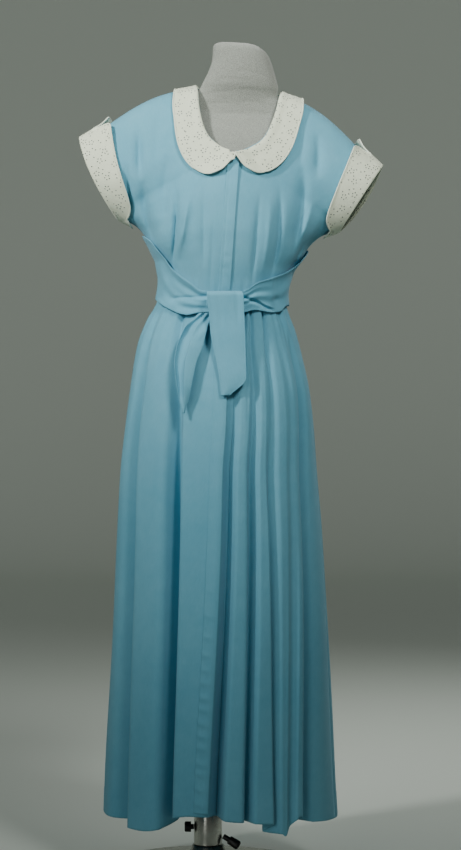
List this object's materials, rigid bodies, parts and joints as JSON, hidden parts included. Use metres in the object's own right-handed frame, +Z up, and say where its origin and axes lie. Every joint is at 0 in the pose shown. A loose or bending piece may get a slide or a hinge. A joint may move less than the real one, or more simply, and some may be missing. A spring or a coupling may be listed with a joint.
{
  "type": "nurse uniform dress on a dress form",
  "caption": "Long short-sleeved uniform dress with round collar, turned cuffs and tied sash, worn on a limbless dress form with a round foot.",
  "frame": {"origin": "centre of the underside of the round foot, on the axis of the post", "axes": "+Z up, -Y towards the dress's front, +X to the right of someone looking at the front"},
  "size_m": [0.5841, 0.4344, 1.5916],
  "materials": {
    "blue_cotton": "matte cotton",
    "eyelet_cotton": "matte eyelet cotton",
    "grey_jersey": "matte jersey",
    "stand_metal": "polished metal",
    "knob_black": "satin plastic"
  },
  "bodies": {
    "root": {"bodice_front_left": "blue_cotton", "bodice_front_right": "blue_cotton", "bodice_back": "blue_cotton", "placket_bodice": "blue_cotton", "placket_skirt": "blue_cotton", "skirt_front_left": "blue_cotton", "skirt_front_right": "blue_cotton", "skirt_back": "blue_cotton", "sash_band": "blue_cotton", "sash_knot": "blue_cotton", "sash_tail_left": "blue_cotton", "sash_tail_right": "blue_cotton", "collar": "eyelet_cotton", "cuff_left": "eyelet_cotton", "cuff_right": "eyelet_cotton", "dress_form": "grey_jersey", "form_socket": "stand_metal", "stand_post": "stand_metal", "stand_tube": "stand_metal", "stand_base": "stand_metal", "clamp_knob_left": "knob_black", "clamp_knob_right": "knob_black"}
  },
  "joints": []
}
